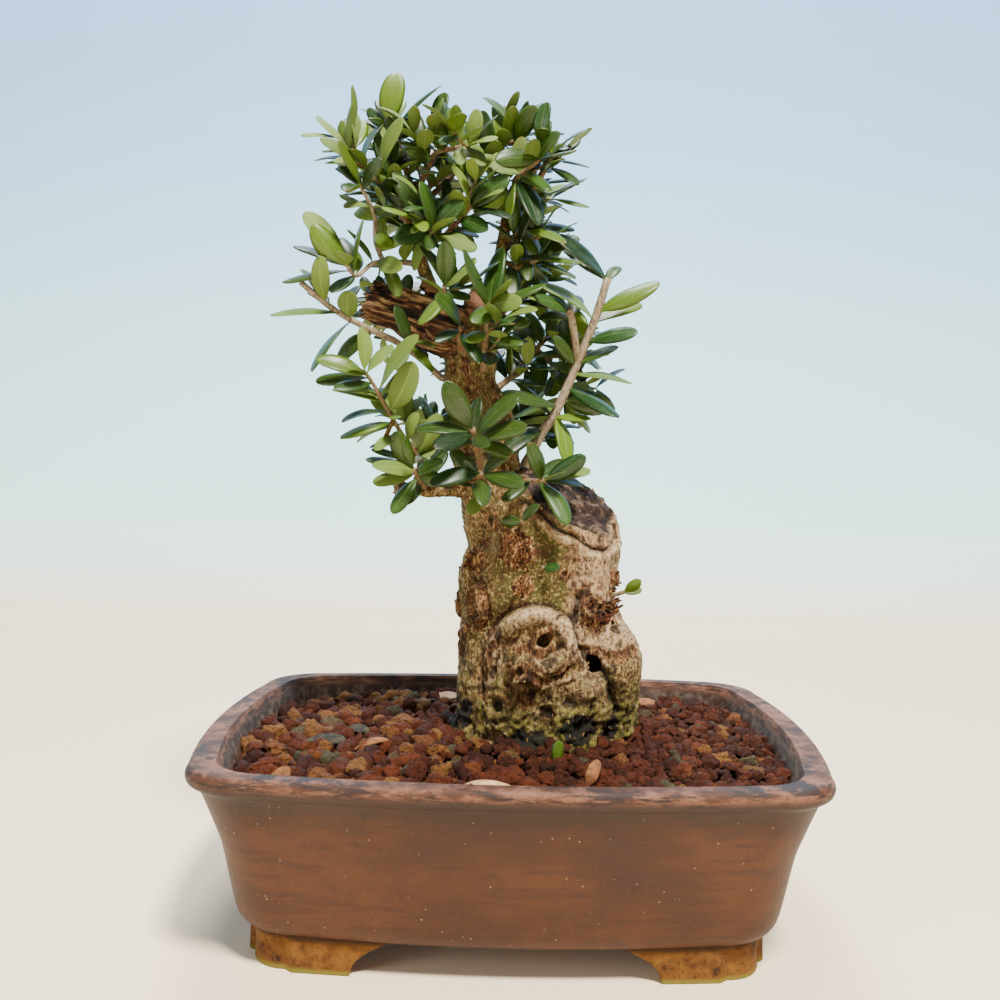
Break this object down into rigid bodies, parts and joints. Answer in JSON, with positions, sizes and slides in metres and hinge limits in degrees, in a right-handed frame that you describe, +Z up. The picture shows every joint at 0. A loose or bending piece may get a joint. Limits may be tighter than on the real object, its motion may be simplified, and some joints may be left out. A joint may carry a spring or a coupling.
{
  "type": "bonsai in a pot",
  "caption": "Wild olive bonsai with a gnarled trunk and small leathery leaves, growing in a shallow brown ceramic pot on bracket feet.",
  "frame": {"origin": "centre of the ground under the pot's feet", "axes": "+X to the right of the side shown to the viewer, +Y away from the viewer, +Z up"},
  "size_m": [0.15, 0.111, 0.2101],
  "materials": {
    "pot": "unglazed mottled brown stoneware",
    "soil": "rough fired-clay and lava grains",
    "drain_net": "plain black net",
    "bark": "living bark, rough and flaking",
    "leaf": "leathery leaf with a soft gloss"
  },
  "bodies": {
    "root": {"pot": "pot", "soil": "soil", "drain_net_left": "drain_net", "drain_net_right": "drain_net", "trunk": "bark", "crown_left": "leaf", "crown_top": "leaf", "crown_middle": "leaf", "crown_rear": "leaf", "crown_right": "leaf", "apex_right": "leaf", "branch_left": "leaf", "stem_mid": "leaf", "stem_inner": "leaf", "mid_right_low": "leaf", "mid_right_high": "leaf", "trunk_top": "leaf", "trunk_front": "leaf", "trunk_side": "leaf", "jin_below": "leaf", "twig_left": "leaf", "low_left": "leaf", "low_left_foot": "leaf", "rosette_front": "leaf", "rosette_low": "leaf", "low_right": "leaf", "twig_right": "leaf", "rear_right": "leaf", "rear_crown": "leaf", "rear_left_high": "leaf", "rear_left_low": "leaf", "rear_stem": "leaf", "rear_top_right": "leaf", "rear_trunk": "leaf", "rear_low": "leaf", "rear_low_left": "leaf", "sprout_upper": "leaf", "sprout_middle": "leaf", "sprout_right": "leaf"}
  },
  "joints": []
}
